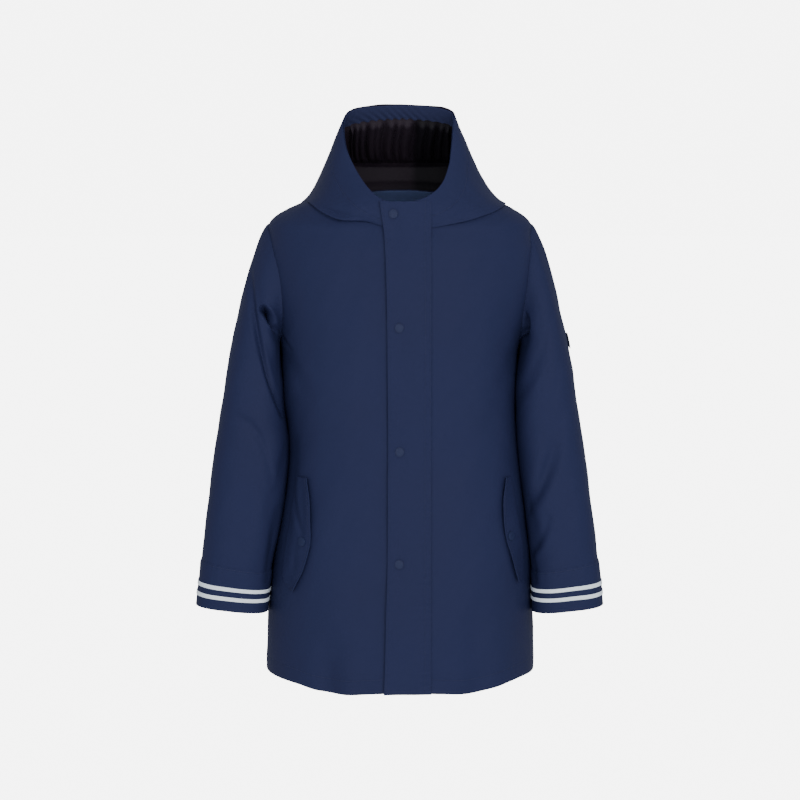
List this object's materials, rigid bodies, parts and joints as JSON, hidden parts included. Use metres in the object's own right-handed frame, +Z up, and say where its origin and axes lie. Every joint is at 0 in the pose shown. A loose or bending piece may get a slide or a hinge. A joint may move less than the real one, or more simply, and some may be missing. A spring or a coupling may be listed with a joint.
{
  "type": "hooded raincoat",
  "caption": "Child's hooded raincoat with a snapped front flap, set-in sleeves, striped cuffs and slanted pocket flaps, filled out as worn.",
  "frame": {"origin": "middle of the neck, at the height where the shoulder seams meet it", "axes": "+Z up, the front faces -Y, +X is the wearer's left"},
  "size_m": [0.5736, 0.2383, 0.8102],
  "materials": {
    "shell": "matt coated cloth",
    "lining": "thin smooth lining",
    "tape": "pale reflective tape",
    "snap": "satin",
    "badge": "plain dark patch"
  },
  "bodies": {
    "root": {"front_right": "shell", "front_left": "shell", "back": "shell", "neck_facing": "shell", "sleeve_right": "shell", "sleeve_left": "shell", "cuff_right": "shell", "cuff_left": "shell", "stripe_1_right": "tape", "stripe_2_right": "tape", "stripe_1_left": "tape", "stripe_2_left": "tape", "hood_side_right": "shell", "hood_side_left": "shell", "hood_centre": "shell", "hood_facing": "shell", "hood_lining": "lining", "placket": "shell", "pocket_flap_right": "shell", "pocket_flap_left": "shell", "snap_1": "snap", "snap_2": "snap", "snap_3": "snap", "snap_4": "snap", "pocket_snap_right": "snap", "pocket_snap_left": "snap", "sleeve_badge": "badge"}
  },
  "joints": []
}
